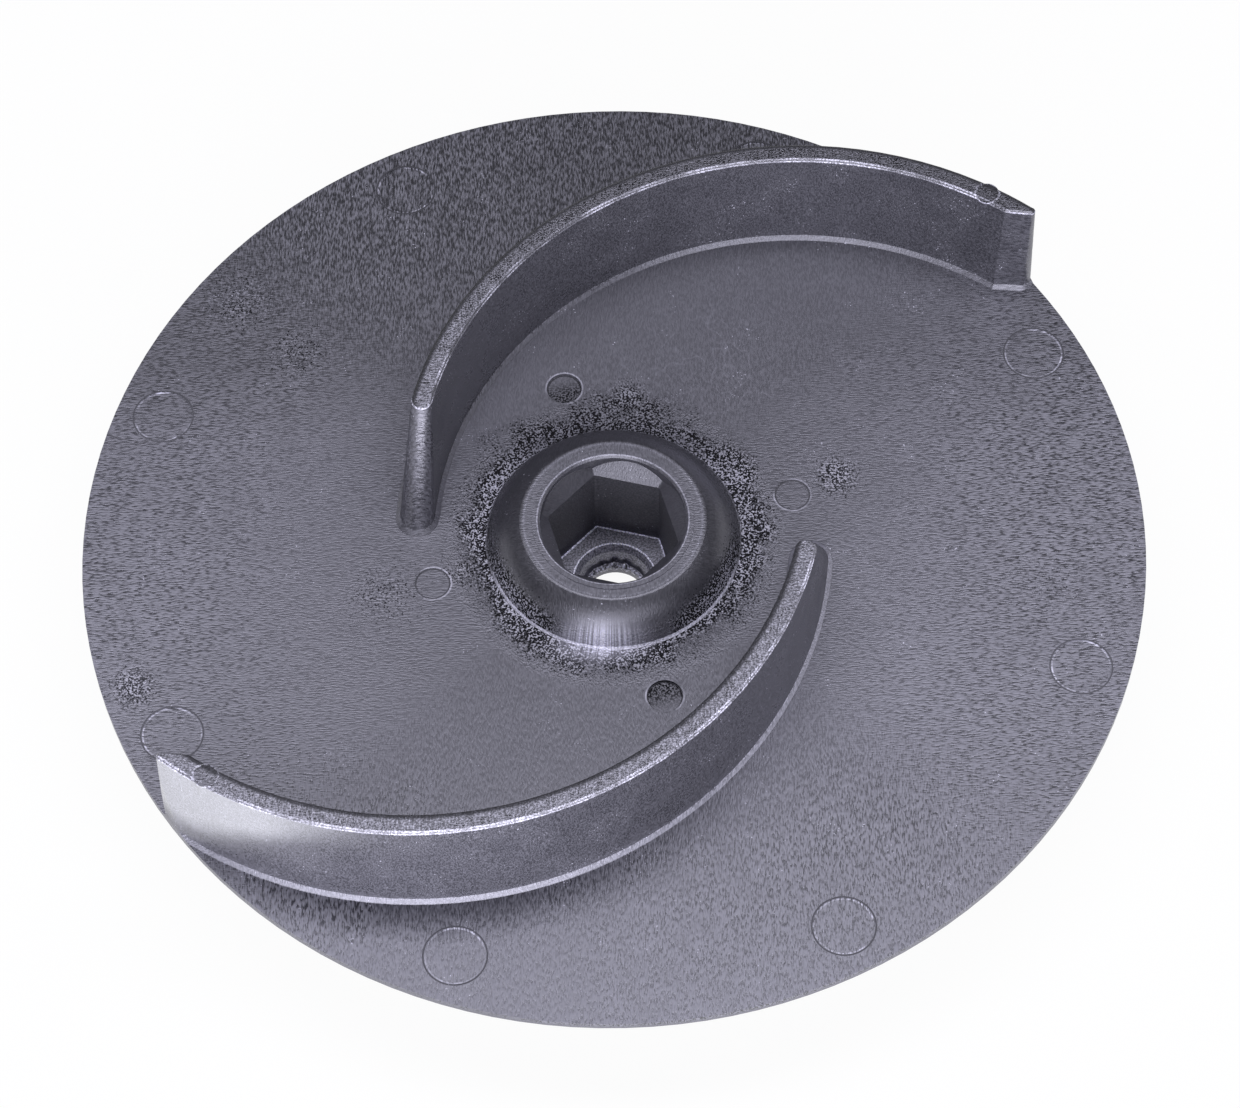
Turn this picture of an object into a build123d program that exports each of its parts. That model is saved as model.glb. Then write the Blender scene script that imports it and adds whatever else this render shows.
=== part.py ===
from build123d import *
import math
import os

# Semi-open centrifugal pump impeller, one moulding in glass-filled thermoplastic.
# Frame: Z is the shaft axis and points out of the vaned front face. Z = 0 is the flat
# rear end of the hub boss, on which the impeller stands. Millimetres and degrees.

# ---- Shroud disc ----
impeller_diameter = 143.0
rim_thickness = 1.2
shroud_thickness_at_hub = 3.2
front_face_height = 16.1            # rear end of the boss to the vaned face

# ---- Front hub ----
hub_base_diameter = 34.0
hub_land_diameter = 24.8
hub_height = 5.1                    # land above the vaned face
hub_flank_bulge = 0.8               # sagitta of the domed flank
hub_toe_radius = 0.6
hub_shoulder_radius = 0.8
core_ring_diameter = 21.8           # witness of the core sleeve on the land
core_ring_step = 0.12

# ---- Hexagon socket, from the land down ----
mouth_diameter = 19.6
mouth_edge_chamfer = 0.35
hex_across_flats = 15.7             # at the foot of the lead-in
hex_floor_across_flats = 15.4       # the difference is the moulding draft
hex_corner_radius = 0.5
hex_turn = 15.2                     # direction of a flat, about Z
lead_in_foot_height = 2.3           # above the vaned face; the lead-in rises at 45 degrees
hex_floor_depth = 10.6              # below the vaned face

# ---- Bore below the socket floor ----
seat_diameter = 11.2
seat_chamfer = 0.6
seat_chamfer_depth = 1.0
counterbore_foot_diameter = 9.1
web_thickness = 2.1                 # round the through bore
through_bore_diameter = 8.6

# ---- Rear boss ----
boss_end_diameter = 28.0
boss_draft = 1.5
boss_root_chamfer = 1.6
boss_end_chamfer = 0.8

# ---- Vanes: the mean line is one circular arc, with draft from root to top ----
vane_count = 2
vane_height = 16.9
vane_inlet_radius = 26.7            # from the shaft to the mean line at the foot of the nose
vane_inlet_angle = 171.4            # direction of that point, for the vane that sweeps through +Y
vane_outlet_angle = 29.9            # direction in which the mean line meets the rim
vane_exit_angle = 14.6              # between the mean line and the rim there
vane_root_width = 4.8
vane_top_width = 2.8
vane_edge_chamfer = 0.35
vane_toe_chamfer = 0.55
leading_edge_lean = 8.4             # along the mean line, from root to top
nose_length = 14.0                  # along the mean line, back from the foot of the nose
tip_length = 8.0                    # along the mean line, back from the tip round
tip_bevel_length = 2.6              # along the mean line
tip_root_radius = 1.2
tip_top_radius = 0.8
tip_root_offset = 0.55              # centre of the tip round, outside the mean line
tip_top_offset = 0.95
tip_sweep = 35.0                    # of the tip round, back from its bevel tangent

# ---- Ejector pin marks ----
rim_pin_count = 8
rim_pin_diameter = 8.0
rim_pin_inset = 6.5                 # pin centres inside the rim
rim_pin_first_angle = 25.7
pin_mark_depth = 0.1
hub_pin_count = 4
hub_pin_diameter = 4.8
hub_pin_offset = 8.15               # pin centres outside the foot of the hub
hub_pin_first_angle = 14.4
sunk_pin_mark_depth = 0.4           # every second pin by the hub stands long
vane_pin_diameter = 3.2
vane_pin_setback = 6.2              # along the mean line, from the centre of the tip round
vane_pin_boss_depth = 5.0           # where the pin boss has run out into the drafted flank
vane_pin_mark_depth = 0.12

# ---- Worked out from the sizes above ----
impeller_radius = impeller_diameter / 2
face_z = front_face_height
land_z = face_z + hub_height
vane_top_z = face_z + vane_height
vane_shoulder_z = vane_top_z - vane_edge_chamfer
hex_floor_z = face_z - hex_floor_depth
lead_in_foot_z = face_z + lead_in_foot_height
trim_allowance = 6.0                # the disc is made this much too large, then trimmed
clear = 1.0                         # how far a cutter runs past the face that it opens
tolerance = 0.001
HEX_SIDES = 6
HANG = (Align.CENTER, Align.CENTER, Align.MAX)
STAND = (Align.CENTER, Align.CENTER, Align.MIN)


def turned(outline):
    """Solid of revolution about Z from a closed outline of radius against height."""
    return revolve(Plane.XZ * make_face(outline), Axis.Z)


def corner(sketch, radius, height):
    """Vertex of a radius-against-height sketch nearest to this radius and height."""
    return sketch.vertices().sort_by_distance((radius, height, 0))[0]


def heading(offset):
    """Direction of an offset in plan."""
    return math.degrees(math.atan2(offset.Y, offset.X))


def polar(radius, angle):
    """Offset of this length in this direction, in plan."""
    turn = math.radians(angle)
    return Vector(radius * math.cos(turn), radius * math.sin(turn))


# ---- Mean line of the vane that sweeps through +Y, from its inlet, outlet and exit angle ----
vane_inlet = polar(vane_inlet_radius, vane_inlet_angle)
vane_outlet = polar(impeller_radius, vane_outlet_angle)
vane_chord = vane_inlet - vane_outlet
vane_curve_side = polar(1, vane_outlet_angle + vane_exit_angle + 180)
vane_arc_radius = vane_chord.length**2 / (2 * vane_chord.dot(vane_curve_side))
vane_arc_centre = vane_outlet + vane_curve_side * vane_arc_radius


def arc_point(radius, angle):
    """Point at a radius and angle about the vane's arc centre."""
    return vane_arc_centre + polar(radius, angle)


def arc_turn(length):
    """Angle that a length along the mean line turns through."""
    return math.degrees(length / vane_arc_radius)


def tip_centre_angle(tip_radius, tip_offset):
    """Angle about the arc centre of the tip round, which touches the rim from inside."""
    radius = vane_arc_radius + tip_offset
    shaft_radius = impeller_radius - tip_radius
    reach = vane_arc_centre.length
    along = (shaft_radius**2 - radius**2 - reach**2) / (2 * radius * reach)
    return math.degrees(math.acos(along)) + heading(vane_arc_centre)


nose_root_angle = heading(vane_inlet - vane_arc_centre)
nose_top_angle = nose_root_angle - arc_turn(leading_edge_lean)
nose_joint_angle = nose_root_angle - arc_turn(nose_length)
tip_joint_angle = tip_centre_angle(tip_root_radius, tip_root_offset) + arc_turn(tip_length)


def shroud_and_hub():
    """Disc with its coned back, the domed front hub and the rear boss, before any cut."""
    blank_radius = impeller_radius + trim_allowance
    boss_radius = boss_end_diameter / 2
    hub_base_radius = hub_base_diameter / 2
    land_radius = hub_land_diameter / 2
    core_ring_radius = core_ring_diameter / 2
    back_slope = (shroud_thickness_at_hub - rim_thickness) / (impeller_radius - boss_radius)
    blank_edge_z = face_z - rim_thickness + back_slope * trim_allowance
    boss_root_z = face_z - shroud_thickness_at_hub
    boss_top_radius = boss_radius + boss_root_z * math.tan(math.radians(boss_draft))
    back = Polyline(
        (0, 0),
        (boss_radius - boss_end_chamfer, 0),
        (boss_radius, boss_end_chamfer),
        (boss_top_radius, boss_root_z),
        (blank_radius, blank_edge_z),
        (blank_radius, face_z),
        (hub_base_radius, face_z),
    )
    flank = SagittaArc((hub_base_radius, face_z), (land_radius, land_z), -hub_flank_bulge)
    land = Polyline(
        (land_radius, land_z),
        (core_ring_radius, land_z),
        (core_ring_radius, land_z + core_ring_step),
        (0, land_z + core_ring_step),
        (0, 0),
    )
    profile = make_face(back + flank + land)
    profile = chamfer(corner(profile, boss_top_radius, boss_root_z), boss_root_chamfer)
    profile = fillet(corner(profile, hub_base_radius, face_z), hub_toe_radius)
    profile = fillet(corner(profile, land_radius, land_z), hub_shoulder_radius)
    return revolve(Plane.XZ * profile, Axis.Z)


def nose_outline(nose_angle, width, inset=0.0):
    """Plan of the leading end of the vane at one height, drawn in by the inset."""
    half_width = width / 2 - inset
    outer = vane_arc_radius + half_width
    inner = vane_arc_radius - half_width
    middle_angle = (nose_angle + nose_joint_angle) / 2
    nose_front = arc_point(vane_arc_radius, nose_angle) + polar(half_width, nose_angle + 90)
    outline = Line(arc_point(inner, nose_joint_angle), arc_point(outer, nose_joint_angle))
    outline += ThreePointArc(outline @ 1, arc_point(outer, middle_angle), arc_point(outer, nose_angle))
    outline += ThreePointArc(outline @ 1, nose_front, arc_point(inner, nose_angle))
    outline += ThreePointArc(outline @ 1, arc_point(inner, middle_angle), outline @ 0)
    return make_face(outline)


def tip_outline(width, tip_radius, tip_offset, inset=0.0):
    """Plan of the trailing end of the vane at one height: outer flank, tip round and bevel."""
    half_width = width / 2 - inset
    round_radius = tip_radius - inset
    outer = vane_arc_radius + half_width
    inner = vane_arc_radius - half_width
    tip_angle = tip_centre_angle(tip_radius, tip_offset)
    bevel_angle = tip_angle + arc_turn(tip_bevel_length)
    outer_middle = arc_point(outer, (tip_angle + tip_joint_angle) / 2)
    inner_middle = arc_point(inner, (bevel_angle + tip_joint_angle) / 2)
    tip_centre = arc_point(vane_arc_radius + tip_offset, tip_angle)
    bevel_start = arc_point(inner, bevel_angle)
    to_tip = tip_centre - bevel_start
    bevel_heading = heading(to_tip) - math.degrees(math.asin(round_radius / to_tip.length))
    bevel_end = tip_centre + polar(round_radius, bevel_heading - 90)
    tip_front = tip_centre + polar(round_radius, bevel_heading - tip_sweep)
    outline = Line(arc_point(inner, tip_joint_angle), arc_point(outer, tip_joint_angle))
    outline += ThreePointArc(outline @ 1, outer_middle, arc_point(outer, tip_angle))
    outline += ThreePointArc(outline @ 1, tip_front, bevel_end)
    outline += Line(bevel_end, bevel_start)
    outline += ThreePointArc(bevel_start, inner_middle, outline @ 0)
    return make_face(outline)


def stacked(root, shoulder, top):
    """Ruled solid through three plans: on the vaned face, under the top chamfer and on top."""
    plans = [Pos(0, 0, face_z) * root, Pos(0, 0, vane_shoulder_z) * shoulder, Pos(0, 0, vane_top_z) * top]
    return loft(plans, ruled=True)


def vane_middle():
    """The long stretch of the vane, its drafted section turned about the arc centre."""
    root_inner = vane_arc_radius - vane_root_width / 2
    root_outer = vane_arc_radius + vane_root_width / 2
    top_inner = vane_arc_radius - vane_top_width / 2
    top_outer = vane_arc_radius + vane_top_width / 2
    section = Polyline(
        (root_inner, face_z),
        (root_outer, face_z),
        (top_outer, vane_shoulder_z),
        (top_outer - vane_edge_chamfer, vane_top_z),
        (top_inner + vane_edge_chamfer, vane_top_z),
        (top_inner, vane_shoulder_z),
        (root_inner, face_z),
    )
    stretch = revolve(Plane.XZ * make_face(section), Axis.Z, nose_joint_angle - tip_joint_angle)
    return Pos(vane_arc_centre) * Rot(0, 0, tip_joint_angle) * stretch


def vane():
    """One vane: leading end that leans back, turned middle, bevelled trailing end."""
    nose = stacked(
        nose_outline(nose_root_angle, vane_root_width),
        nose_outline(nose_top_angle, vane_top_width),
        nose_outline(nose_top_angle, vane_top_width, vane_edge_chamfer),
    )
    tip = stacked(
        tip_outline(vane_root_width, tip_root_radius, tip_root_offset),
        tip_outline(vane_top_width, tip_top_radius, tip_top_offset),
        tip_outline(vane_top_width, tip_top_radius, tip_top_offset, vane_edge_chamfer),
    )
    return vane_middle() + nose + tip


def vane_pin(length):
    """Ejector pin in the first vane's top edge, from the top down."""
    angle = tip_centre_angle(tip_top_radius, tip_top_offset) + arc_turn(vane_pin_setback)
    centre = arc_point(vane_arc_radius, angle)
    return Pos(centre.X, centre.Y, vane_top_z) * Cylinder(vane_pin_diameter / 2, length, align=HANG)


def ring_of(piece, count):
    """Copies of a piece spaced evenly round the shaft axis."""
    return [Rot(0, 0, turn * 360 / count) * piece for turn in range(count)]


def pin_marks(diameter, circle_radius, first_angle, count, depth):
    """Shallow round marks that the ejector pins leave in the vaned face."""
    centre = polar(circle_radius, first_angle)
    mark = Cylinder(diameter / 2, depth + clear, align=STAND)
    return ring_of(Pos(centre.X, centre.Y, face_z - depth) * mark, count)


def hexagon(across_flats, height):
    """Hexagon sketch with rounded corners at this height."""
    sharp = RegularPolygon(across_flats / 2, HEX_SIDES, major_radius=False)
    rounded = fillet(sharp.vertices(), hex_corner_radius)
    return Pos(0, 0, height) * Rot(0, 0, hex_turn - 180 / HEX_SIDES) * rounded


def hex_socket():
    """Round mouth, planar lead-in at 45 degrees and the drafted hexagon below it."""
    mouth_z = land_z + core_ring_step
    mouth_radius = mouth_diameter / 2
    lead_in_rise = mouth_z + clear - lead_in_foot_z
    wide_hex = hex_across_flats + 2 * lead_in_rise
    well = loft([hexagon(hex_floor_across_flats, hex_floor_z), hexagon(hex_across_flats, lead_in_foot_z)])
    lead_in = loft([hexagon(hex_across_flats, lead_in_foot_z), hexagon(wide_hex, mouth_z + clear)])
    mouth = Pos(0, 0, lead_in_foot_z) * Cylinder(mouth_radius, lead_in_rise, align=STAND)
    lip = Polyline(
        (mouth_radius - clear, mouth_z - mouth_edge_chamfer),
        (mouth_radius, mouth_z - mouth_edge_chamfer),
        (mouth_radius + mouth_edge_chamfer, mouth_z),
        (mouth_radius + mouth_edge_chamfer, mouth_z + clear),
        (mouth_radius - clear, mouth_z + clear),
        (mouth_radius - clear, mouth_z - mouth_edge_chamfer),
    )
    return well + (lead_in & mouth) + turned(lip)


def bore():
    """Stepped bore: chamfered seat in the socket floor, counterbore and through hole."""
    seat_radius = seat_diameter / 2
    through_radius = through_bore_diameter / 2
    return turned(
        Polyline(
            (0, hex_floor_z + clear),
            (seat_radius, hex_floor_z + clear),
            (seat_radius, hex_floor_z),
            (seat_radius - seat_chamfer, hex_floor_z - seat_chamfer_depth),
            (counterbore_foot_diameter / 2, web_thickness),
            (through_radius, web_thickness),
            (through_radius, -clear),
            (0, -clear),
            (0, hex_floor_z + clear),
        )
    )


def is_turned_about_shaft(edge):
    """Whether an edge is a circle centred on the shaft axis."""
    if edge.geom_type != GeomType.CIRCLE:
        return False
    return math.hypot(edge.arc_center.X, edge.arc_center.Y) < tolerance


def vane_toe_edges(body):
    """Edges where the flanks of the vanes stand on the vaned face."""
    on_face = body.edges().filter_by_position(Axis.Z, face_z - tolerance, face_z + tolerance)
    return on_face.filter_by(lambda edge: not is_turned_about_shaft(edge))


def impeller():
    """The whole moulding."""
    body = shroud_and_hub()
    for blade in ring_of(vane(), vane_count):
        body += blade
    body = chamfer(vane_toe_edges(body), vane_toe_chamfer)
    for pin in ring_of(vane_pin(vane_pin_boss_depth), vane_count):
        body += pin
    for pin in ring_of(vane_pin(vane_pin_mark_depth), vane_count):
        body -= pin
    body -= hex_socket()
    body -= bore()
    rim_pin_radius = impeller_radius - rim_pin_inset
    hub_pin_radius = hub_base_diameter / 2 + hub_pin_offset
    sunk_pin_angle = hub_pin_first_angle + 360 / hub_pin_count
    marks = pin_marks(
        rim_pin_diameter, rim_pin_radius, rim_pin_first_angle, rim_pin_count, pin_mark_depth
    )
    marks += pin_marks(
        hub_pin_diameter, hub_pin_radius, hub_pin_first_angle, hub_pin_count, pin_mark_depth
    )
    marks += pin_marks(
        hub_pin_diameter, hub_pin_radius, sunk_pin_angle, hub_pin_count // 2, sunk_pin_mark_depth
    )
    for mark in marks:
        body -= mark
    return body & Pos(0, 0, -clear) * Cylinder(impeller_radius, vane_top_z + 2 * clear, align=STAND)


os.makedirs("parts", exist_ok=True)
export_step(impeller(), "parts/impeller.step")
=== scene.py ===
import math
import random

import bmesh
import bpy
from mathutils import Matrix, Vector


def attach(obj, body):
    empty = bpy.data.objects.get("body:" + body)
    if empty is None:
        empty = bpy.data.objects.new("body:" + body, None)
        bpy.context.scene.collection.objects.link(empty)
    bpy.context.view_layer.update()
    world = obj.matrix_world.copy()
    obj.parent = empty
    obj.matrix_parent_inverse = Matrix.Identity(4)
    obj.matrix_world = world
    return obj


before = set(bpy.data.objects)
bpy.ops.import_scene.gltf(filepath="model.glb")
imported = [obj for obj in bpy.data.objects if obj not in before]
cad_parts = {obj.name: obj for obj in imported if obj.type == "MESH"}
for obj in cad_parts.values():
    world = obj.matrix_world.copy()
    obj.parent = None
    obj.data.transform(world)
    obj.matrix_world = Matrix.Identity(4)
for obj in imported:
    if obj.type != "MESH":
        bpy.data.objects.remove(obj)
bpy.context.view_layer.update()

MM = 0.001

# ---- The impeller's own sizes, as the CAD has them; mm and degrees ----
FACE_Z = 16.1                        # the vaned face of the disc
LAND_Z = 21.2                        # the flat land round the socket's mouth
VANE_TOP_Z = 33.0
HUB_RADIUS = 17.0
LAND_RADIUS = 12.4
MOUTH_RADIUS = 9.8
SOCKET_FLOOR_Z = 5.5
SOCKET_FLOOR_APOTHEM = 7.7
SOCKET_TURN = 15.2
SEAT_RADIUS = 5.6
WEB_Z = 2.1                          # the top of the web that the through bore pierces
BORE_RADIUS = 4.3
RIM_PIN_COUNT = 8
RIM_PIN_RADIUS = 4.0
RIM_PIN_DISTANCE = 65.0
RIM_PIN_FIRST = 25.7
HUB_PIN_COUNT = 4
HUB_PIN_RADIUS = 2.4
HUB_PIN_DISTANCE = 25.15
HUB_PIN_FIRST = 14.4
SUNK_PIN_Z = 15.7
VANE_PIN = (52.2, 43.44)
VANE_PIN_RADIUS = 1.6
VANE_ARC_CENTRE = (25.103, -0.600)
VANE_ARC_RADIUS = 51.707
VANE_HALF_WIDTH = 1.4                # at the top, chamfer and all
CHAMFER = 0.35                       # along the vanes' top edges and round the mouth

# ---- Camera, fitted to the rim, the vanes and the pin marks ----
IMAGE_WIDTH = 1240
FOCAL_PIXELS = 4307.9
SENSOR_WIDTH = 36.0
CAMERA_ELEVATION = 59.1
CAMERA_ROLL = -1.47
CAMERA_DISTANCE = 578.8 * MM
NEAREST_SEEN = 10 * MM
AIM = (0.82 * MM, -2.4 * MM, FACE_Z * MM)

# ---- Studio ----
LAMP_COLOUR = (0.95, 0.95, 1.0)
FLOOR_COLOUR = (0.85, 0.85, 0.87, 1)
FLOOR_HALF = 3.0                     # metres
FLOOR_SHADOW_SHARE = 0.06
FLOOR_GAP = 0.1 * MM                 # keeps the floor clear of the boss end
HORIZON_WHITE = 10.0                 # degrees up to which the surroundings are white
HORIZON_DARK = 20.0                  # and from which they are dark
# name, place, aim, width, height, radiance; metres
SOFTBOXES = (
    ("overhead", (0, 0.10, 0.62), (0, 0.10, 0), 0.9, 0.20, 5.75),
    ("overhead_rear", (0, 0.26, 0.62), (0, 0.26, 0), 0.9, 0.12, 0.6),
    ("front_top", (0, -0.62, 0.60), (0, 0, 0), 0.9, 0.30, 2.2),
    ("front_high", (0, -0.90, 0.42), (0, 0, 0.42), 1.2, 0.34, 4.6),
    ("front_low", (0, -0.90, 0.13), (0, 0, 0.13), 1.2, 0.24, 9.5),
)

# ---- Plastic ----
PLASTIC_COLOUR = (0.072, 0.071, 0.087)
SHEEN_TINT = (0.87, 0.86, 1.0)
# colour of the painted reflection of the floor on the lower vane's outer side
HAZE_COLOUR = (0.231, 0.235, 0.242)
PLASTIC_ROUGHNESS = 0.35
TORN_ROUGHNESS = (-0.2, 0.5)         # contrast, level
PLASTIC_IOR = 2.0

# ---- Texture: sizes in mm, and offsets that keep the patterns apart ----
FIBRE_WIDTH = 0.18
FIBRE_LENGTH = 4.5                   # over its width
FIBRE_DEPTH = 2                      # over its width
FIBRE_HEIGHT = 0.014
GRIT_SIZE = 0.25
GRIT_HEIGHT = 0.10
PATCH_SIZE = 5.0
CLOUD_SIZE = 30.0
CLOUD_SHARE, PATCH_SHARE = 0.6, 0.4
WISP_SIZE = 3.2
WISP_LENGTH = 1.8                    # over its size
TEAR_SIZE = 0.35
TEAR_HEIGHT = 0.2
RUN_SPACING = 0.020                  # radians round the dome
RINGS_PER_MM = 2.2
ALONG_OFFSET, GRIT_OFFSET, WISP_OFFSET, TEAR_OFFSET = 40.0, 14.0, 21.0, 50.0
MIDDLE = 0.5                         # the mean of every noise
# Noise levels at which a pattern is none and full
FIBRE_ENDS = (0.30, 0.70)
GRIT_ENDS = (0.36, 0.64)
PATCH_ENDS = (0.36, 0.64)
RUN_ENDS = (0.36, 0.66)
TEAR_ENDS = (0.38, 0.62)
SPECK_ENDS = (0.71, 0.76)

# ---- Z of a surface's normal: where it stops being upright, and where it comes to be level ----
UPRIGHT_TO = (0.2, 0.3)
SOCKET_UPRIGHT_TO = (0.3, 0.5)
LEVEL_FROM = (0.85, 0.95)

# ---- Painted highlight, flow lines and dirt: places in mm ----
# centre of the painted highlight low on the dome's front
SCUFF_CENTRE = (-1.0, -16.4, 17.6)   # in a frame squeezed along X
SCUFF_SQUEEZE = 0.45
WISP_CENTRE = (11.0, 27.5)           # in a frame squeezed along X
WISP_SQUEEZE = 0.8
SMUDGE_FADE = 1.25                   # a smudge fades out at this many radii
# Oily smudges on the vaned face: x, y, radius, strength; mm
SMUDGES = (
    (19.8, 0.8, 3.2, 1.0),
    (30.3, 9.2, 4.5, 0.8),
    (-64.0, -21.0, 4.5, 0.8),
    (-31.0, -7.5, 7.0, 0.45),
    (-51.0, 40.0, 8.0, 0.45),
    (-43.0, 31.5, 6.5, 0.45),
    (58.0, -9.0, 7.0, 0.25),
    (2.5, 22.5, 4.0, 0.8),
)

# ---- How the marks show: the tables use the names of the attributes of Marks ----
# Factors on the plastic's colour: 1 plus this where the mark is full
COLOUR_CHANGES = {
    "packed": -0.95,
    # painted shade over the grime behind the hub
    "soot": -1.0,
    "pad": -0.35,
    # dark witness lines round the pins, and painted shade along the vanes' far edges
    "dark_lines": -0.8,
    # painted shade on the vane walls and on the dome's sides
    "upper_wall": -0.42,
    "lower_wall": -0.50,
    "dome_sides": -0.55,
    # painted shade on the socket's lead-ins
    "lead_in": -0.25,
    "web": 3.0,
}
BROKEN_LINE = (4.0, 0.6)             # how patches break up a pale line: contrast, level
# Factors that stand in for 1 where the mark is full: pattern, contrast, level
PATTERNED_TONES = {
    # painted highlight on the vanes' toe chamfer, stronger on the lower vane
    "toe": ("lower", 1.4, 1.2),
    "pin_pale": ("patchy", *BROKEN_LINE),
    # painted shade on the socket's walls
    "walls": ("mottle", 0.5, 0.25),
    # socket floor: mottled pale deposits, and painted light
    "floor": ("mottle", 3.8, 1.2),
}
# Tones with rules of their own: contrast and level, or a level alone
FIBRE_TONE = (1.7, 1.05)
CLOUD_TONE = (0.60, 0.70)
# darkening over the rear of the disc, part dirt and part painted shade: behind the upper vane, and
# elsewhere
COARSE_STAIN_TONE = (0.75, 0.12)
FINE_STAIN_TONE = 0.60
CREST_TONE = (2.2, 0.6)
# painted light on the lower vane's top chamfers, and painted shade on the upper vane's
LOWER_CHAMFER_TONE = (1.6, 0.9)
UPPER_CHAMFER_TONE = 0.5
# how the clouds vary the painted reflection on the lower vane: contrast, level
HAZE_TONE = (0.3, 0.85)
TORN_TONE = (12.0, 0.5)
# Added to the colour, in shares of it, where the mark is full
# the first entry is painted light on the left and right of the disc
ADDED = {"scoured": 1.0, "wisps": 0.5, "specks": 7.0, "clean": 4.5}
# The same with a pattern: pattern, contrast, level
PATTERNED_ADDED = {
    # painted highlight on the dome's front, in streaks
    "scuff": ("runs", 9.0, 3.4),
    # painted highlights along the socket floor's edges and seat
    "floor_edges": ("mottle", 10.0, 6.0),
    # painted highlights along the hub's edges
    "hub_lines": ("mottle", 0.8, 0.6),
    # painted highlights along the vanes' near edges, broken by patches
    "vane_line": ("mottle", 1.6, 0.35),
    "pad_line": ("mottle", 4.0, 0.0),
}
# Added to the roughness where the mark is full
ROUGHNESS_CHANGES = {
    "fibres": 0.20,
    "packed": 0.50,
    "dark_lines": 0.35,
    "sunk_grit": 0.55,
    "vane_patches": 0.35,
    "rings": 0.25,
    "stain": 0.12,
    "haze": -0.10,
    "walls": 0.35,
}
# dirt and painted shade take away this share of the reflections
DIRT_SHEEN_LOST = 0.75               # share of the reflections that dirt takes away

# ---- Torn flash round the bore; lift and reach: the least, and what a full lump adds; mm ----
FLASH_STEPS = 144
FLASH_STEPS_PER_LUMP = 8
FLASH_SEED = 11
FLASH_FINE_SHARE = 0.25
FLASH_LIFT = (0.10, 0.75)
FLASH_REACH = (0.20, 0.55)


class Graph:
    """A new material's node tree, with short calls for the nodes used here."""

    def __init__(self, name):
        self.material = bpy.data.materials.new(name)
        self.material.use_nodes = True
        self.nodes = self.material.node_tree.nodes
        self.links = self.material.node_tree.links
        self.shader = self.nodes["Principled BSDF"]

    def node(self, kind, **settings):
        made = self.nodes.new("ShaderNode" + kind)
        for setting, value in settings.items():
            setattr(made, setting, value)
        return made

    def feed(self, socket, value):
        """Link a socket, or set a number or vector on it."""
        if isinstance(value, bpy.types.NodeSocket):
            self.links.new(value, socket)
        else:
            socket.default_value = value

    def filled(self, kind, values, **settings):
        """A node with its first sockets fed in order."""
        made = self.node(kind, **settings)
        for socket, value in zip(made.inputs, values):
            self.feed(socket, value)
        return made

    def math(self, operation, *values):
        return self.filled("Math", values, operation=operation).outputs[0]

    def vector(self, operation, *values):
        made = self.filled("VectorMath", values, operation=operation)
        gives_number = operation in ("LENGTH", "DISTANCE", "DOT_PRODUCT")
        return made.outputs["Value" if gives_number else "Vector"]

    def scaled(self, vector, by):
        made = self.vector("SCALE", vector)
        self.feed(made.node.inputs["Scale"], by)
        return made

    def split(self, vector):
        made = self.node("SeparateXYZ")
        self.feed(made.inputs[0], vector)
        return made.outputs["X"], made.outputs["Y"], made.outputs["Z"]

    def place_mm(self):
        """The shaded point in the piece's own frame, in mm."""
        return self.vector("MULTIPLY", self.node("TexCoord").outputs["Object"], (1 / MM,) * 3)

    def fold(self, operation, values):
        result = values[0]
        for value in values[1:]:
            result = self.math(operation, result, value)
        return result

    def product(self, *values):
        return self.fold("MULTIPLY", values)

    def total(self, *values):
        return self.fold("ADD", values)

    def most(self, *values):
        return self.fold("MAXIMUM", values)

    def less(self, value, taken):
        return self.math("SUBTRACT", value, taken)

    def without(self, mark):
        """1 where the mark is absent, 0 where it is full."""
        return self.math("SUBTRACT", 1.0, mark)

    def linear(self, value, slope, start):
        """The value times the slope, plus the start."""
        return self.math("MULTIPLY_ADD", value, slope, start)

    def change(self, mark, amount):
        """A factor of 1 off the mark, and of 1 plus the amount where it is full."""
        return self.linear(mark, amount, 1.0)

    def mix(self, share, first, second):
        made = self.node("Mix", data_type="FLOAT")
        self.feed(made.inputs[0], share)
        self.feed(made.inputs[2], first)
        self.feed(made.inputs[3], second)
        return made.outputs[0]

    def span(self, value, low, high, start=0.0, end=1.0):
        """Smooth step from start to end while the value goes from low to high."""
        values = (value, low, high, start, end)
        return self.filled("MapRange", values, interpolation_type="SMOOTHSTEP").outputs["Result"]

    def fade(self, value, low, high, start=1.0):
        """Smooth step from start down to 0 while the value goes from low to high."""
        return self.span(value, low, high, start, 0.0)

    def band(self, value, low, high, soft):
        """1 between low and high, falling to 0 over the soft width each side."""
        return self.product(self.span(value, low - soft, low), self.fade(value, high, high + soft))

    def noise(self, place, size, detail=2.0, stretch=(1, 1, 1), offset=0.0):
        """Noise of about 0 to 1, with grains of the given size in mm, longer where stretched."""
        scaled = self.vector("MULTIPLY", place, tuple(1 / (size * by) for by in stretch))
        if offset:
            scaled = self.vector("ADD", scaled, (offset, 0, 0))
        made = self.node("TexNoise")
        self.feed(made.inputs["Vector"], scaled)
        made.inputs["Scale"].default_value = 1.0
        made.inputs["Detail"].default_value = detail
        return made.outputs["Fac"]

    def relief(self, height):
        """Bump on the shader, its height in mm."""
        bump = self.node("Bump")
        bump.inputs["Distance"].default_value = MM
        self.feed(bump.inputs["Height"], height)
        self.feed(self.shader.inputs["Normal"], bump.outputs["Normal"])


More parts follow.
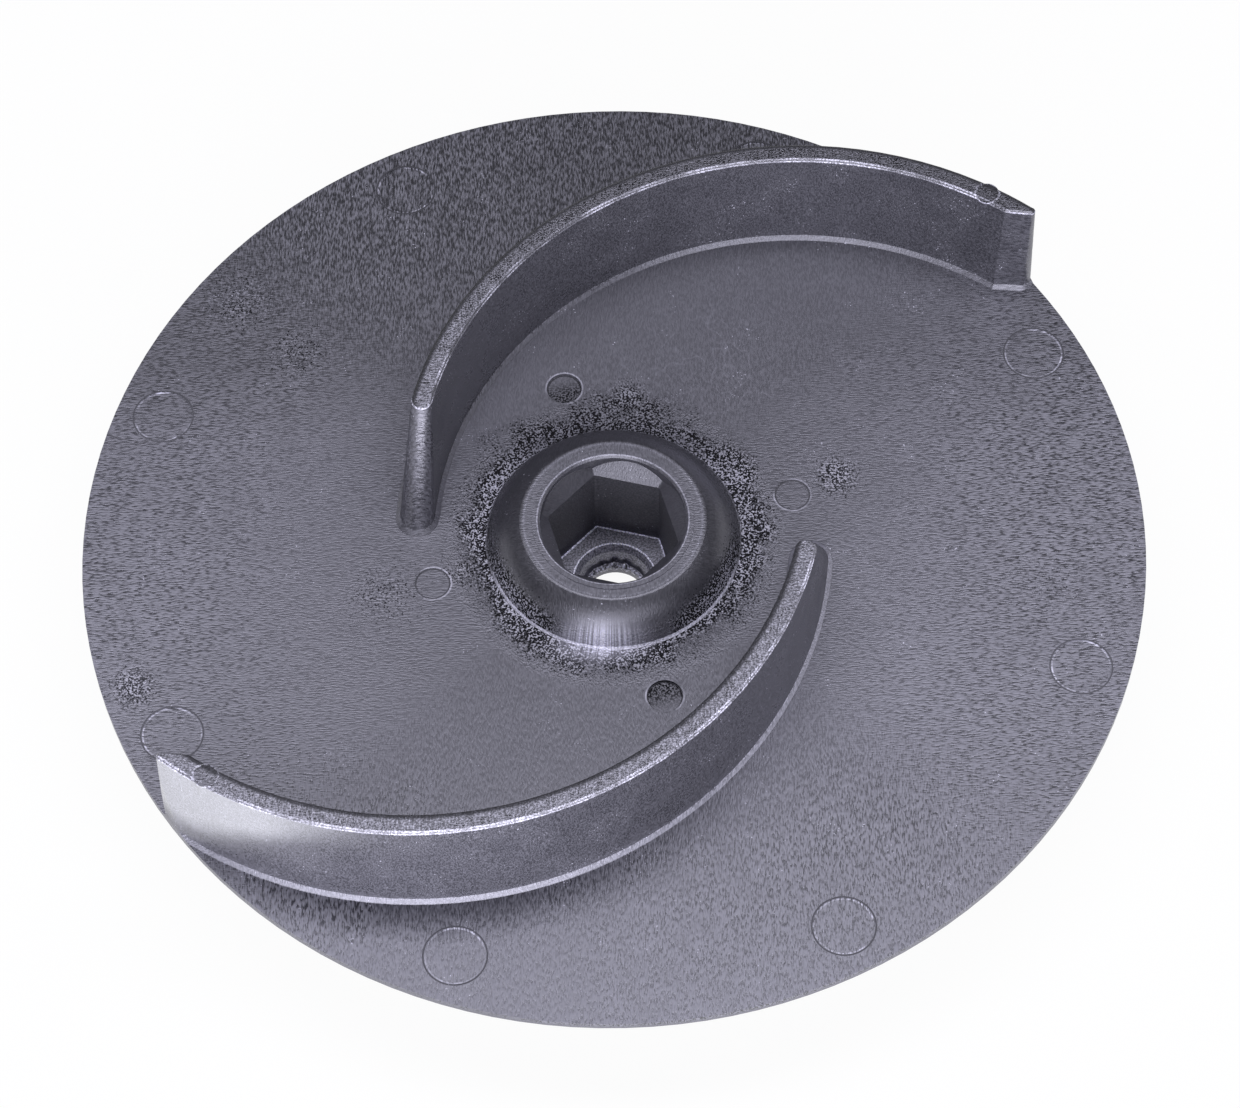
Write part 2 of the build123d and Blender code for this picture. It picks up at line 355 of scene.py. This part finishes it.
class Surface:
    """Where a shaded point lies on the impeller, in mm, and which part of it that is."""

    def __init__(self, g):
        self.place = g.place_mm()
        self.x, self.y, self.z = g.split(self.place)
        _, self.facing_back, self.facing_up = g.split(g.node("TexCoord").outputs["Normal"])
        self.flat = g.vector("MULTIPLY", self.place, (1, 1, 0))
        self.radius = g.vector("LENGTH", self.flat)
        self.heading = g.math("ARCTAN2", self.y, self.x)
        self.aside = g.math("ABSOLUTE", self.x)

        outside_hub = g.span(self.radius, HUB_RADIUS - 0.8, HUB_RADIUS - 0.2)
        self.on_disc = g.product(g.band(self.z, FACE_Z - 0.6, FACE_Z + 0.04, 0.02), outside_hub)
        self.off_hub = g.span(self.radius, HUB_RADIUS + 1.0, HUB_RADIUS + 2.0)
        self.on_vane = g.product(g.span(self.z, FACE_Z + 0.05, FACE_Z + 0.5), self.off_hub)
        self.on_wall = g.product(self.on_vane, g.fade(self.facing_up, *UPRIGHT_TO))
        above = g.span(self.z, FACE_Z + 0.1, FACE_Z + 0.2)
        self.on_flank = g.product(above, g.band(self.radius, LAND_RADIUS, HUB_RADIUS, 0.3))
        self.on_land = g.product(above, g.band(self.radius, MOUTH_RADIUS, LAND_RADIUS, 0.3))

        # Off a vane's mean line: under 0 on the side nearer -Y, over 0 on the side nearer +Y.
        half = g.math("SIGN", self.y)
        arc = g.vector("DISTANCE", g.scaled(self.flat, half), (*VANE_ARC_CENTRE, 0))
        self.off_mean = g.product(g.less(arc, VANE_ARC_RADIUS), half)
        self.lower = g.math("LESS_THAN", self.y, 0.0)   # the half that holds the lower vane

        self.broad = g.noise(self.place, CLOUD_SIZE, 0.0)
        self.patches = g.noise(self.place, PATCH_SIZE, 1.0)


# ---- Marks on the moulding, and painted light and shade: each is about 0 where the mark is absent and 1 where it is full ----

def moulded_grain(g, s):
    """Fine fibres in the moulding, lying along the flow from the hub to the rim."""
    across = g.noise(s.place, FIBRE_WIDTH, 1.0, stretch=(FIBRE_LENGTH, 1, FIBRE_DEPTH))
    along = g.noise(s.place, FIBRE_WIDTH, 1.0, stretch=(1, FIBRE_LENGTH, FIBRE_DEPTH),
                    offset=ALONG_OFFSET)
    sideways = g.math("POWER", g.math("DIVIDE", s.x, s.radius), 2.0)
    return g.span(g.mix(g.span(sideways, 0.35, 0.75), along, across), *FIBRE_ENDS)


def rear_stain(g, s):
    """Darker towards the rear of the disc, part dirt streaks and part painted shade, with painted
    shade and more grain behind the upper vane.
    """
    slant, wander, starts, full = -0.12, 36.0, 20.0, 76.0
    edge = g.total(s.y, g.product(s.x, slant), g.product(s.broad, wander))
    film = g.product(g.span(edge, starts, full), s.on_disc)
    behind_vane = g.span(s.off_mean, 0.0, 3.0)
    return film, g.product(film, behind_vane)


def smudges(g, s):
    """Small oily smudges."""
    marks = []
    for x, y, radius, strength in SMUDGES:
        away = g.vector("DISTANCE", s.flat, (x, y, 0))
        marks.append(g.fade(away, 0.0, radius * SMUDGE_FADE, strength))
    return g.product(g.most(*marks), s.on_disc)


def hub_grime(g, s):
    """Grit packed round the foot of the hub, most behind it, and some of it up the flank."""
    ragged = 9.0
    wander = g.linear(s.patches, ragged, -ragged / 2)
    wider_behind = g.span(s.y, -10.0, 16.0, 0.0, 0.8)
    reach = g.less(g.less(s.radius, wander), wider_behind)
    denser_behind = g.span(s.y, 0.0, 16.0, 0.84, 1.15)
    ring = g.product(g.fade(reach, HUB_RADIUS - 1.5, HUB_RADIUS + 7.0, 1.15), s.on_disc, denser_behind)
    low = g.fade(s.z, FACE_Z + 1.2, FACE_Z + 4.2, 1.1)
    sides = g.span(s.aside, 5.0, 11.0)
    thinner_behind = g.span(s.y, -8.0, 2.0, 1.0, 0.25)
    flank = g.product(low, g.without(s.on_disc), s.on_flank, sides, thinner_behind)
    return ring, flank


def dirt_grains(g, s, grit, ring, dirt):
    """Hard dark grains, packed closer where there is more dirt, clean ones between, and painted shade
    over the grime behind the hub.
    """
    crowding, thinning, most_soot = 0.33, -0.16, 0.55
    packed = g.product(g.span(g.linear(dirt, crowding, grit), 0.71, 0.77), g.span(dirt, 0.0, 0.05))
    soot = g.product(ring, g.span(s.y, 8.0, 18.0, 0.0, most_soot))
    clean = g.product(g.fade(g.linear(dirt, thinning, grit), 0.28, 0.34), dirt, g.without(soot))
    return packed, clean, soot


def turned_rings(g, s):
    """Turned rings on the land, from -0.5 to 0.5."""
    rings = g.node("TexNoise", noise_dimensions="1D")
    g.feed(rings.inputs["W"], s.radius)
    rings.inputs["Scale"].default_value = RINGS_PER_MM
    rings.inputs["Detail"].default_value = 1.0
    return g.product(g.less(rings.outputs["Fac"], MIDDLE), s.on_land)


def rubbed_front(g, s):
    """Painted highlight low on the front of the dome, and its streaks down the dome."""
    squeezed = g.vector("MULTIPLY", s.place, (SCUFF_SQUEEZE, 1, 1))
    scuff = g.fade(g.vector("DISTANCE", squeezed, SCUFF_CENTRE), 0.6, 4.2)
    runs = g.noise(g.vector("NORMALIZE", s.flat), RUN_SPACING, 1.0)
    return scuff, g.product(g.span(runs, *RUN_ENDS), scuff)


def hub_lines(g, s):
    """Painted highlights along the mouth's lip, the land's edge and the front of the hub's foot."""
    rim = MOUTH_RADIUS + CHAMFER
    lip = g.product(g.band(s.radius, rim - 0.06, rim + 0.08, 0.06),
                    g.span(s.z, LAND_Z - 0.7, LAND_Z - 0.5))
    land_edge = g.product(g.band(s.radius, LAND_RADIUS - 0.5, LAND_RADIUS - 0.36, 0.1), s.on_land)
    foot = g.product(g.band(s.z, FACE_Z + 0.10, FACE_Z + 0.32, 0.05),
                     g.band(s.radius, HUB_RADIUS - 0.6, HUB_RADIUS + 0.7, 0.2),
                     g.fade(s.y, -9.0, -3.0))
    lip_strength, land_strength, foot_strength = 3.0, 1.0, 6.0
    return g.total(g.product(lip, lip_strength), g.product(land_edge, land_strength),
                   g.product(foot, foot_strength))


def vane_edges(g, s):
    """Vane edges: the speckled crest, its chamfer, painted highlights along the near edges and painted
    shade along the far edge.
    """
    foot = VANE_TOP_Z - CHAMFER
    flat_edge = VANE_HALF_WIDTH - CHAMFER
    high = g.product(g.span(s.z, foot - 0.12, foot - 0.04), s.on_vane)
    crest = g.product(high, g.span(s.facing_up, *LEVEL_FROM))
    chamfer = g.product(high, g.fade(s.facing_up, *LEVEL_FROM))
    near = g.fade(s.facing_back, 0.0, 0.25)
    wall_line = g.product(chamfer, near, g.fade(s.z, VANE_TOP_Z - 0.28, VANE_TOP_Z - 0.22))
    top_line = g.product(high, g.band(s.off_mean, -flat_edge - 0.10, -flat_edge + 0.06, 0.06), 0.8)
    far_line = g.product(high, g.span(s.off_mean, flat_edge - 0.6, flat_edge - 0.1))
    return crest, chamfer, g.most(wall_line, top_line), far_line


def vane_toe(g, s):
    """The chamfer at the vanes' toe, with a painted highlight on it."""
    return g.product(g.band(s.z, FACE_Z + 0.08, FACE_Z + 0.62, 0.04), s.off_hub,
                     g.band(s.facing_up, 0.45, 0.88, 0.05))


def vane_pins(g, s):
    """Round pads left by the ejector pins on the vane crests, and the lines round them."""
    x, y = VANE_PIN
    away = g.math("MINIMUM", g.vector("DISTANCE", s.flat, (x, y, 0)),
                  g.vector("DISTANCE", s.flat, (-x, -y, 0)))
    high = g.span(s.z, VANE_TOP_Z - 0.4, VANE_TOP_Z - 0.3)
    pad = g.product(g.fade(away, VANE_PIN_RADIUS - 0.1, VANE_PIN_RADIUS + 0.05), high)
    line = g.product(g.band(away, VANE_PIN_RADIUS - 0.08, VANE_PIN_RADIUS + 0.12, 0.08), high)
    return pad, line


def away_from_pins(g, s, count, first, distance):
    """Distance to the nearest of a ring of ejector pins, the first of them at an angle in degrees."""
    pitch = 2 * math.pi / count
    shifted = g.math("ADD", s.heading, pitch / 2 - math.radians(first) + 2 * math.pi)
    folded = g.less(g.math("FLOORED_MODULO", shifted, pitch), pitch / 2)
    out = g.less(g.product(s.radius, g.math("COSINE", folded)), distance)
    aside = g.product(s.radius, g.math("SINE", folded))
    return g.math("SQRT", g.total(g.math("POWER", out, 2.0), g.math("POWER", aside, 2.0)))


def pin_lines(g, s, away, radius, pale_side):
    """Pale and dark witness lines round ejector pins.

    The pale line is outside the dark one where pale_side is 1, and inside it where that is -1.
    """
    apart, half = 0.12, 0.07
    pale_at, dark_at = radius + apart * pale_side, radius - apart * pale_side
    pale = g.band(away, pale_at - half, pale_at + half, 0.08)
    dark = g.band(away, dark_at - half, dark_at + half, 0.07)
    return g.product(pale, s.on_disc), g.product(dark, s.on_disc)


def sunk_pins(g, s, away):
    """Dirt in the two hub pin marks that are sunk, most of it on the side towards the hub."""
    inside = g.fade(away, HUB_PIN_RADIUS - 0.2, HUB_PIN_RADIUS)
    sunk = g.band(s.z, SUNK_PIN_Z - 0.1, SUNK_PIN_Z + 0.2, 0.1)
    hubwards = g.span(s.radius, HUB_PIN_DISTANCE - 1.2, HUB_PIN_DISTANCE + 2.0, 1.0, 0.2)
    return g.product(inside, sunk, hubwards)


def flow_lines(g, s):
    """Pale wisps where the melt met again beyond the hub."""
    squeezed = g.vector("MULTIPLY", s.flat, (WISP_SQUEEZE, 1, 0))
    away = g.vector("DISTANCE", squeezed, (*WISP_CENTRE, 0))
    wisp = g.noise(s.place, WISP_SIZE, 1.0, stretch=(1, WISP_LENGTH, 1), offset=WISP_OFFSET)
    line = g.fade(g.math("ABSOLUTE", g.less(wisp, MIDDLE)), 0.0, 0.020)
    wander, full, ends = 14.0, 10.0, 22.0
    return g.product(line, g.fade(g.linear(s.patches, wander, away), full, ends), s.on_disc)


def specks(g, s, grit):
    """Sparse white specks, gathered in places, a few more of them on the vanes' walls."""
    chance = g.linear(s.on_wall, 0.06, s.patches)
    return g.product(g.span(grit, *SPECK_ENDS), g.span(chance, 0.60, 0.64))


def tip_haze(g, s):
    """Painted reflection of the white floor on the outer side of the lower vane, widest at its tip."""
    tip_z, rise, wander = 21.1, 9.5, 3.0
    lowest = g.linear(g.span(s.x, -58.0, -36.0), rise, tip_z)
    height = g.linear(s.patches, wander, g.less(s.z, lowest))
    near_tip = g.product(g.fade(s.x, -48.0, -29.0), g.fade(s.y, -36.0, -34.0))
    return g.product(g.span(height, -2.0, 3.8), s.on_wall, near_tip)


def socket_parts(g, s):
    """Hexagon socket: its walls and lead-ins, darkened with painted shade, its mottled floor, pale
    deposits lightened with painted light, and the floor's edges and seat with painted highlights.
    """
    inside = g.product(g.fade(s.radius, MOUTH_RADIUS - 0.1, MOUTH_RADIUS),
                       g.fade(s.z, LAND_Z - 1.0, LAND_Z - 0.6))
    upright = g.fade(s.facing_up, *SOCKET_UPRIGHT_TO)
    walls = g.product(inside, upright, g.span(s.z, SOCKET_FLOOR_Z, SOCKET_FLOOR_Z + 0.1))
    lead_in = g.product(inside, g.span(s.z, SOCKET_FLOOR_Z + 2.0, SOCKET_FLOOR_Z + 2.1),
                        g.without(upright))
    floor = g.product(inside, g.band(s.z, WEB_Z + 1.0, SOCKET_FLOOR_Z + 0.02, 0.06))
    reaches = []
    for side in range(3):
        turn = math.radians(SOCKET_TURN + 60 * side)
        along = g.vector("DOT_PRODUCT", s.place, (math.cos(turn), math.sin(turn), 0))
        reaches.append(g.math("ABSOLUTE", along))
    edge = g.span(g.most(*reaches), SOCKET_FLOOR_APOTHEM - 0.26, SOCKET_FLOOR_APOTHEM - 0.16)
    seat = g.band(s.radius, SEAT_RADIUS - 0.02, SEAT_RADIUS + 0.12, 0.06)
    return walls, floor, g.product(g.most(edge, seat), floor), lead_in


def shaded_sides(g, s):
    """Painted shade on the upper vane's walls, the right part of the lower vane's, and the dome but
    for its front.
    """
    upper_wall = g.product(s.on_wall, g.without(s.lower))
    lower_wall = g.product(s.on_wall, s.lower, g.span(s.x, -16.0, 20.0))
    dome_sides = g.product(s.on_flank, g.span(s.y, -16.0, -10.0))
    return upper_wall, lower_wall, dome_sides


def scoured_sides(g, s):
    """Painted light on the left and right of the disc, the left more than the right."""
    left, right = 0.42, 0.28
    sides = g.product(g.span(s.aside, 16.0, 46.0), g.band(s.y, -24.0, 16.0, 14.0))
    return g.product(sides, s.on_disc, g.span(s.x, -20.0, 20.0, left, right))


def bore_web(g, s):
    """The web that the through bore pierces."""
    return g.product(g.band(s.z, WEB_Z - 0.05, WEB_Z + 0.05, 0.05), g.span(s.facing_up, 0.5, 0.7))


def grain_share(g, s, cloud, coarse_stain, crest):
    """How much the grain shows: little near the hub, more to the rim, most behind the upper vane."""
    on_stain, on_vane, everywhere = 1.1, 0.6, 0.3
    outwards = g.span(s.radius, 30.0, 60.0, 0.28, 1.0)
    near_side = g.span(s.y, -64.0, -25.0, 1.15, 1.0)
    sheltered = g.product(g.span(s.y, 24.0, 36.0), g.fade(s.x, 34.0, 54.0))
    patchy = g.span(cloud, 0.40, 0.60, 0.7, 1.2)
    disc = g.product(outwards, patchy, near_side, g.change(sheltered, -0.65), s.on_disc)
    return g.most(disc, g.product(coarse_stain, on_stain), crest, g.product(s.on_vane, on_vane),
                  everywhere)


class Marks:
    """The patterns, all the marks on the moulding, and the painted light and shade."""

    def __init__(self, g, s):
        grit = g.noise(s.place, GRIT_SIZE, 1.0, offset=GRIT_OFFSET)
        self.mottle = g.span(grit, *GRIT_ENDS)
        self.patchy = g.span(s.patches, *PATCH_ENDS)
        self.lower = s.lower
        self.cloud = g.total(g.product(s.broad, CLOUD_SHARE), g.product(s.patches, PATCH_SHARE))

        self.stain, self.coarse_stain = rear_stain(g, s)
        ring, flank = hub_grime(g, s)
        dirt = g.most(smudges(g, s), ring, flank)
        self.packed, self.clean, self.soot = dirt_grains(g, s, grit, ring, dirt)
        self.scuff, self.runs = rubbed_front(g, s)
        self.rings = turned_rings(g, s)
        self.hub_lines = hub_lines(g, s)

        self.crest, self.chamfer, vane_line, self.far_line = vane_edges(g, s)
        self.vane_line = g.product(vane_line, g.linear(self.patchy, *BROKEN_LINE))
        self.toe = vane_toe(g, s)
        self.pad, self.pad_line = vane_pins(g, s)
        self.vane_patches = g.product(g.less(s.patches, MIDDLE), s.on_vane)
        self.upper_wall, self.lower_wall, self.dome_sides = shaded_sides(g, s)
        self.haze = tip_haze(g, s)

        off_rim_pins = away_from_pins(g, s, RIM_PIN_COUNT, RIM_PIN_FIRST, RIM_PIN_DISTANCE)
        off_hub_pins = away_from_pins(g, s, HUB_PIN_COUNT, HUB_PIN_FIRST, HUB_PIN_DISTANCE)
        rim_pale, rim_dark = pin_lines(g, s, off_rim_pins, RIM_PIN_RADIUS, -1)
        hub_pale, hub_dark = pin_lines(g, s, off_hub_pins, HUB_PIN_RADIUS, 1)
        self.pin_pale = g.most(rim_pale, hub_pale)
        self.dark_lines = g.most(rim_dark, hub_dark, self.far_line)
        self.sunk = sunk_pins(g, s, off_hub_pins)
        self.sunk_grit = g.product(self.sunk, g.without(self.mottle))

        self.scoured = scoured_sides(g, s)
        self.wisps = flow_lines(g, s)
        self.specks = specks(g, s, grit)
        self.walls, self.floor, self.floor_edges, self.lead_in = socket_parts(g, s)
        self.web = bore_web(g, s)
        self.grain = moulded_grain(g, s)
        self.fibres = g.product(g.less(self.grain, MIDDLE),
                                grain_share(g, s, self.cloud, self.coarse_stain, self.crest))

    def each(self, table):
        """The marks that a table names, each with the table's values."""
        return [(getattr(self, name), values) for name, values in table.items()]

    def patterned(self, g, table):
        """The marks that a table names, each with its pattern at the table's contrast and level."""
        return [(mark, g.linear(getattr(self, pattern), contrast, level))
                for mark, (pattern, contrast, level) in self.each(table)]


# ---- What the marks do to the plastic ----

def moulding_tone(g, m):
    """The plastic's grain and clouds, and the darkening over its rear, part dirt and part painted
    shade.
    """
    film = g.mix(m.coarse_stain, FINE_STAIN_TONE, g.linear(m.grain, *COARSE_STAIN_TONE))
    return g.product(g.linear(m.fibres, *FIBRE_TONE), g.linear(m.cloud, *CLOUD_TONE),
                     g.mix(m.stain, 1.0, film))


def crest_tone(g, s, m):
    """The vanes' speckled crests, darkened to the rear with painted shade, and their chamfers,
    lightened with painted light on the lower vane and darkened with painted shade on the upper.
    """
    to_rear = g.span(s.y, 15.0, 46.0, 1.0, 0.30)
    crest = g.product(g.linear(m.mottle, *CREST_TONE), to_rear)
    chamfer = g.mix(s.lower, UPPER_CHAMFER_TONE, g.linear(m.mottle, *LOWER_CHAMFER_TONE))
    return g.product(g.mix(m.crest, 1.0, crest), g.mix(m.chamfer, 1.0, chamfer))


def plastic_tone(g, s, m):
    """Factor on the plastic's colour."""
    changed = [g.change(mark, amount) for mark, amount in m.each(COLOUR_CHANGES)]
    patterned = [g.mix(mark, 1.0, tone) for mark, tone in m.patterned(g, PATTERNED_TONES)]
    sunk = g.mix(m.sunk, 1.0, g.product(m.mottle, m.mottle))
    return g.product(moulding_tone(g, m), crest_tone(g, s, m), sunk, *changed, *patterned)


def pale_marks(g, m):
    """What is added to the plastic's colour, in shares of it: pale marks, painted light and painted
    highlights.
    """
    plain = [g.product(mark, amount) for mark, amount in m.each(ADDED)]
    patterned = [g.product(mark, amount) for mark, amount in m.patterned(g, PATTERNED_ADDED)]
    return g.total(*plain, *patterned)


def plastic_roughness(g, m):
    changes = [g.product(mark, amount) for mark, amount in m.each(ROUGHNESS_CHANGES)]
    return g.total(PLASTIC_ROUGHNESS, *changes)


def plastic_sheen(g, m):
    """Tint of the reflections, which dirt and the painted shade behind the hub and along the vanes'
    far edges take most of away.
    """
    dark_edge = g.product(m.far_line, 0.6)
    # dirt here also holds painted shade: behind the hub and along the vanes' far edges
    dirt = g.most(m.packed, m.soot, m.sunk_grit, dark_edge)
    return g.scaled(SHEEN_TINT, g.change(dirt, -DIRT_SHEEN_LOST))


def plastic_relief(g, s, m):
    """Height in mm of the grain, and of the grit round the hub and on the vanes' crests."""
    hub_ring = g.product(g.span(s.radius, HUB_RADIUS - 1.6, HUB_RADIUS - 0.6),
                         g.fade(s.radius, HUB_RADIUS + 1.0, HUB_RADIUS + 7.0, 0.8))
    crest_z = VANE_TOP_Z - CHAMFER
    gritty = g.most(hub_ring, g.span(s.z, crest_z, crest_z + 0.05, 0.0, 0.3))
    return g.total(g.product(m.grain, FIBRE_HEIGHT), g.product(m.mottle, gritty, GRIT_HEIGHT))


def moulded_plastic():
    """Grey-violet fibre-filled plastic after some service: grain, grime and witness lines, with
    painted highlights, reflection and shade.
    """
    g = Graph("moulded_plastic")
    s = Surface(g)
    m = Marks(g, s)
    plastic = g.scaled(PLASTIC_COLOUR, g.total(plastic_tone(g, s, m), pale_marks(g, m)))
    # painted reflection of the floor on the lower vane's outer side
    haze = g.scaled(HAZE_COLOUR, g.product(m.haze, g.linear(m.cloud, *HAZE_TONE)))
    g.feed(g.shader.inputs["Base Color"], g.vector("ADD", plastic, haze))
    g.feed(g.shader.inputs["Roughness"], plastic_roughness(g, m))
    g.feed(g.shader.inputs["Specular Tint"], plastic_sheen(g, m))
    g.shader.inputs["IOR"].default_value = PLASTIC_IOR
    g.relief(plastic_relief(g, s, m))
    return g.material


def torn_flash():
    """Thin torn skin of the same plastic, paler and smoother where it was stretched."""
    g = Graph("torn_flash")
    lumps = g.span(g.noise(g.place_mm(), TEAR_SIZE, offset=TEAR_OFFSET), *TEAR_ENDS)
    g.feed(g.shader.inputs["Base Color"], g.scaled(PLASTIC_COLOUR, g.linear(lumps, *TORN_TONE)))
    g.feed(g.shader.inputs["Roughness"], g.linear(lumps, *TORN_ROUGHNESS))
    g.shader.inputs["IOR"].default_value = PLASTIC_IOR
    g.shader.inputs["Specular Tint"].default_value = (*SHEEN_TINT, 1)
    g.relief(g.product(lumps, TEAR_HEIGHT))
    return g.material


def add_camera():
    """Camera at the photograph's viewing angle, aimed near the centre of the vaned face."""
    elevation = math.radians(CAMERA_ELEVATION)
    roll = math.radians(CAMERA_ROLL)
    forward = Vector((0, math.cos(elevation), -math.sin(elevation)))
    level_right = Vector((1, 0, 0))
    level_up = level_right.cross(forward)
    right = math.cos(roll) * level_right + math.sin(roll) * level_up
    up = math.cos(roll) * level_up - math.sin(roll) * level_right
    place = Vector(AIM) - CAMERA_DISTANCE * forward
    data = bpy.data.cameras.new("camera")
    data.sensor_width = SENSOR_WIDTH
    data.lens = FOCAL_PIXELS * SENSOR_WIDTH / IMAGE_WIDTH
    data.clip_start = NEAREST_SEEN
    camera = bpy.data.objects.new("camera", data)
    turn = Matrix((right, up, -forward)).transposed().to_4x4()
    camera.matrix_world = Matrix.Translation(place) @ turn
    bpy.context.scene.collection.objects.link(camera)
    bpy.context.scene.camera = camera


def floor_material():
    """White to the camera and in gloss and glass, with a trace of the shadow; pale to the rest."""
    g = Graph("floor")
    g.shader.inputs["Base Color"].default_value = FLOOR_COLOUR
    g.shader.inputs["Roughness"].default_value = 1.0
    g.shader.inputs["Specular IOR Level"].default_value = 0.0
    white = g.node("Emission")
    seen = g.node("MixShader")
    seen.inputs["Fac"].default_value = FLOOR_SHADOW_SHARE
    g.feed(seen.inputs[1], white.outputs[0])
    g.feed(seen.inputs[2], g.shader.outputs[0])
    path = g.node("LightPath")
    choice = g.node("MixShader")
    seen_by = [path.outputs[f"Is {kind} Ray"] for kind in ("Camera", "Glossy", "Transmission")]
    g.feed(choice.inputs["Fac"], g.most(*seen_by))
    g.feed(choice.inputs[1], g.shader.outputs[0])
    g.feed(choice.inputs[2], seen.outputs[0])
    g.feed(g.nodes["Material Output"].inputs["Surface"], choice.outputs[0])
    return g.material


def add_floor():
    """Wide pale floor under the impeller."""
    half, z = FLOOR_HALF, -FLOOR_GAP
    corners = [(-half, -half, z), (half, -half, z), (half, half, z), (-half, half, z)]
    mesh = bpy.data.meshes.new("floor")
    mesh.from_pydata(corners, [], [(0, 1, 2, 3)])
    floor = bpy.data.objects.new("floor", mesh)
    bpy.context.scene.collection.objects.link(floor)
    mesh.materials.append(floor_material())


def add_softbox(name, place, aim, width, height, radiance):
    """Rectangular area lamp of an even radiance, facing a point."""
    data = bpy.data.lights.new(name, "AREA")
    data.shape = "RECTANGLE"
    data.size = width
    data.size_y = height
    data.energy = radiance * math.pi * width * height
    data.color = LAMP_COLOUR
    lamp = bpy.data.objects.new(name, data)
    facing = (Vector(aim) - Vector(place)).to_track_quat("-Z", "Y")
    lamp.matrix_world = Matrix.Translation(place) @ facing.to_matrix().to_4x4()
    bpy.context.scene.collection.objects.link(lamp)


def add_world():
    """Dark studio above, white down at the horizon and beyond the floor's edge."""
    world = bpy.data.worlds.new("studio")
    world.use_nodes = True
    nodes, links = world.node_tree.nodes, world.node_tree.links
    place = nodes.new("ShaderNodeTexCoord")
    split = nodes.new("ShaderNodeSeparateXYZ")
    fade = nodes.new("ShaderNodeMapRange")
    links.new(place.outputs["Generated"], split.inputs[0])
    links.new(split.outputs["Z"], fade.inputs["Value"])
    fade.inputs["From Min"].default_value = math.sin(math.radians(HORIZON_WHITE))
    fade.inputs["From Max"].default_value = math.sin(math.radians(HORIZON_DARK))
    fade.inputs["To Min"].default_value = 1.0
    fade.inputs["To Max"].default_value = 0.0
    links.new(fade.outputs["Result"], nodes["Background"].inputs["Strength"])
    nodes["Background"].inputs["Color"].default_value = (1, 1, 1, 1)
    world.cycles.sampling_method = "NONE"
    bpy.context.scene.world = world


def flash_lumps():
    """How torn the flash is at each step round the bore: coarse lumps with finer ones on them."""
    chance = random.Random(FLASH_SEED)
    fine = [chance.random() for _ in range(FLASH_STEPS)]
    coarse = [chance.random() for _ in range(FLASH_STEPS // FLASH_STEPS_PER_LUMP)]
    lumps = []
    for step in range(FLASH_STEPS):
        lump, part = divmod(step, FLASH_STEPS_PER_LUMP)
        swell = math.sin(math.pi * (part + 0.5) / FLASH_STEPS_PER_LUMP)
        lumps.append(swell * coarse[lump] + FLASH_FINE_SHARE * fine[step])
    return lumps


def flash_profile(lump):
    """Radii and heights in mm round the flash's section: up its back, over its lip, down the bore."""
    lift = FLASH_LIFT[0] + FLASH_LIFT[1] * lump
    reach = FLASH_REACH[0] + FLASH_REACH[1] * lump
    return (
        (BORE_RADIUS + 0.12, WEB_Z - 0.03),
        (BORE_RADIUS + 0.12 * lump, WEB_Z + 0.75 * lift),
        (BORE_RADIUS - 0.35 * reach, WEB_Z + lift),
        (BORE_RADIUS - reach, WEB_Z + 0.45 * lift),
        (BORE_RADIUS - 0.8 * reach, WEB_Z - 0.4),
        (BORE_RADIUS - 0.3 * reach, WEB_Z - 1.1),
        (BORE_RADIUS + 0.05, WEB_Z - 1.2),
    )


def add_bore_flash():
    """Torn moulding flash round the through bore."""
    mesh = bpy.data.meshes.new("bore_flash")
    piece = bpy.data.objects.new("bore_flash", mesh)
    shape = bmesh.new()
    rings = []
    for step, lump in enumerate(flash_lumps()):
        turn = 2 * math.pi * step / FLASH_STEPS
        rings.append([
            shape.verts.new((radius * math.cos(turn) * MM, radius * math.sin(turn) * MM, z * MM))
            for radius, z in flash_profile(lump)
        ])
    for step, here in enumerate(rings):
        there = rings[(step + 1) % FLASH_STEPS]
        for side in range(len(here)):
            after = (side + 1) % len(here)
            shape.faces.new((here[side], there[side], there[after], here[after]))
    bmesh.ops.recalc_face_normals(shape, faces=shape.faces)
    shape.to_mesh(mesh)
    shape.free()
    for face in mesh.polygons:
        face.use_smooth = True
    mesh.materials.append(torn_flash())
    bpy.context.scene.collection.objects.link(piece)
    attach(piece, "root")


add_camera()
add_floor()
add_world()
for softbox in SOFTBOXES:
    add_softbox(*softbox)
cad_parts["impeller"].material_slots[0].material = moulded_plastic()
add_bore_flash()
bpy.context.scene.view_settings.view_transform = "Standard"
